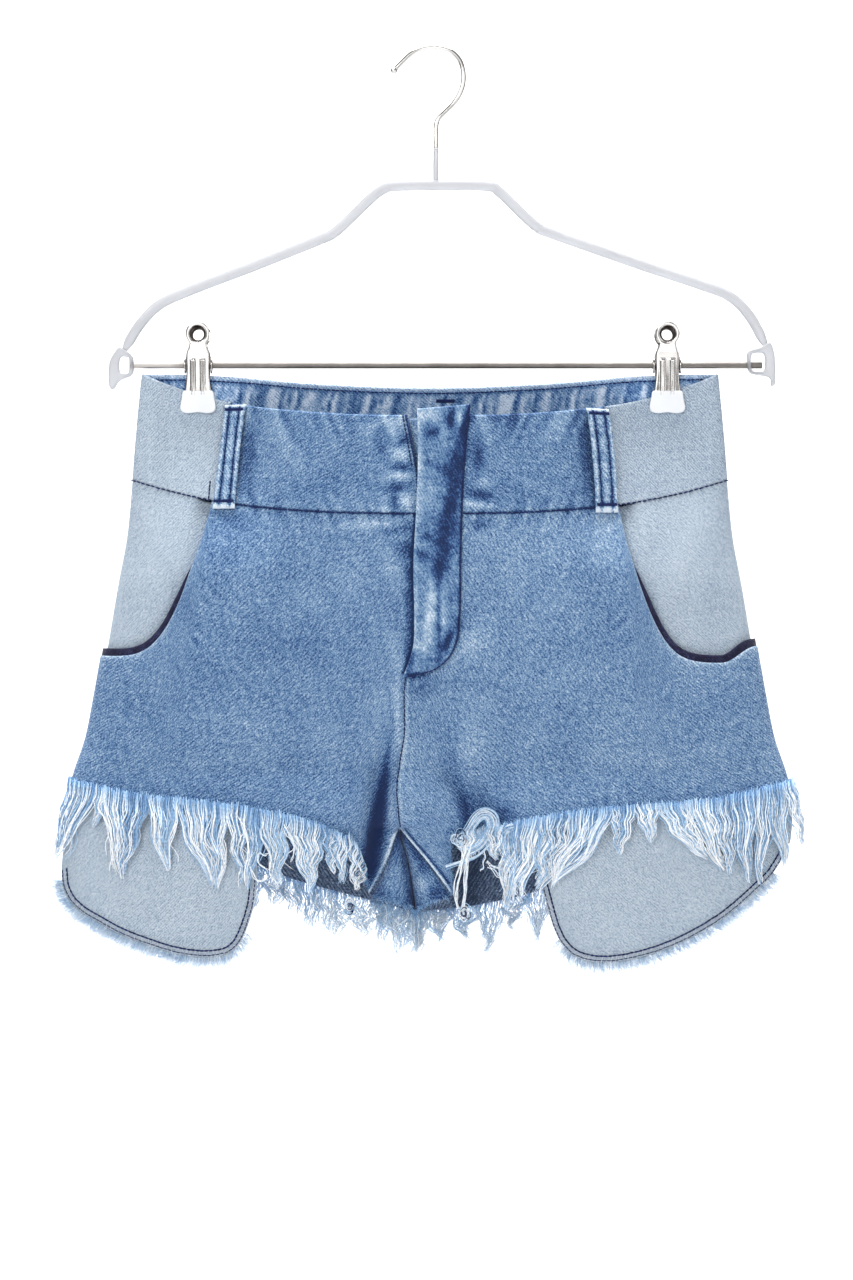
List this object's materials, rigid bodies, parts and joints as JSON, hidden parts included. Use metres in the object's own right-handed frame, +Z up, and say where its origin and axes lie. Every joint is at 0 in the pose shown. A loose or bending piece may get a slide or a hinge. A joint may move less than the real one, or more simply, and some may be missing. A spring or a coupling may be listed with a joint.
{
  "type": "denim shorts on a clip hanger",
  "caption": "Cut-off denim shorts with a wide waistband, scooped pockets whose bags hang below the frayed hems, and reversed side panels, clipped by the waist to a wire hanger with a bar.",
  "frame": {"origin": "the hang point: the inside of the hook's top, where a rail touches it", "axes": "+X to the viewer's right facing the front of the shorts (the wearer's left), +Y to the back, +Z up"},
  "size_m": [0.4538, 0.0684, 0.569],
  "materials": {
    "denim": "washed blue denim",
    "denim_reverse": "pale reverse side of the denim",
    "yarn": "loose pale blue and white yarn",
    "chrome": "polished",
    "coated_wire": "white coating, faintly see-through",
    "pad_rubber": "white, matt"
  },
  "bodies": {
    "root": {"back_left": "denim", "back_right": "denim", "belt_loop_back": "denim", "belt_loop_left": "denim", "belt_loop_right": "denim", "clip_left_front": "chrome", "clip_left_front_pad": "pad_rubber", "clip_left_rear": "chrome", "clip_left_rear_pad": "pad_rubber", "clip_left_spring": "chrome", "clip_right_front": "chrome", "clip_right_front_pad": "pad_rubber", "clip_right_rear": "chrome", "clip_right_rear_pad": "pad_rubber", "clip_right_spring": "chrome", "fly_placket": "denim", "fly_shield": "denim", "fringe_back_left": "yarn", "fringe_back_right": "yarn", "fringe_front_left": "yarn", "fringe_front_right": "yarn", "front_left": "denim", "front_right": "denim", "hanger_bar": "chrome", "hanger_end_left": "coated_wire", "hanger_end_right": "coated_wire", "hanger_hook": "chrome", "hanger_shoulders": "coated_wire", "pocket_back_left": "denim_reverse", "pocket_back_right": "denim_reverse", "pocket_bag_left": "denim_reverse", "pocket_bag_right": "denim_reverse", "pocket_fringe_left": "yarn", "pocket_fringe_right": "yarn", "waistband_back": "denim", "waistband_front_left": "denim", "waistband_front_right": "denim", "waistband_side_left": "denim_reverse", "waistband_side_right": "denim_reverse"}
  },
  "joints": []
}
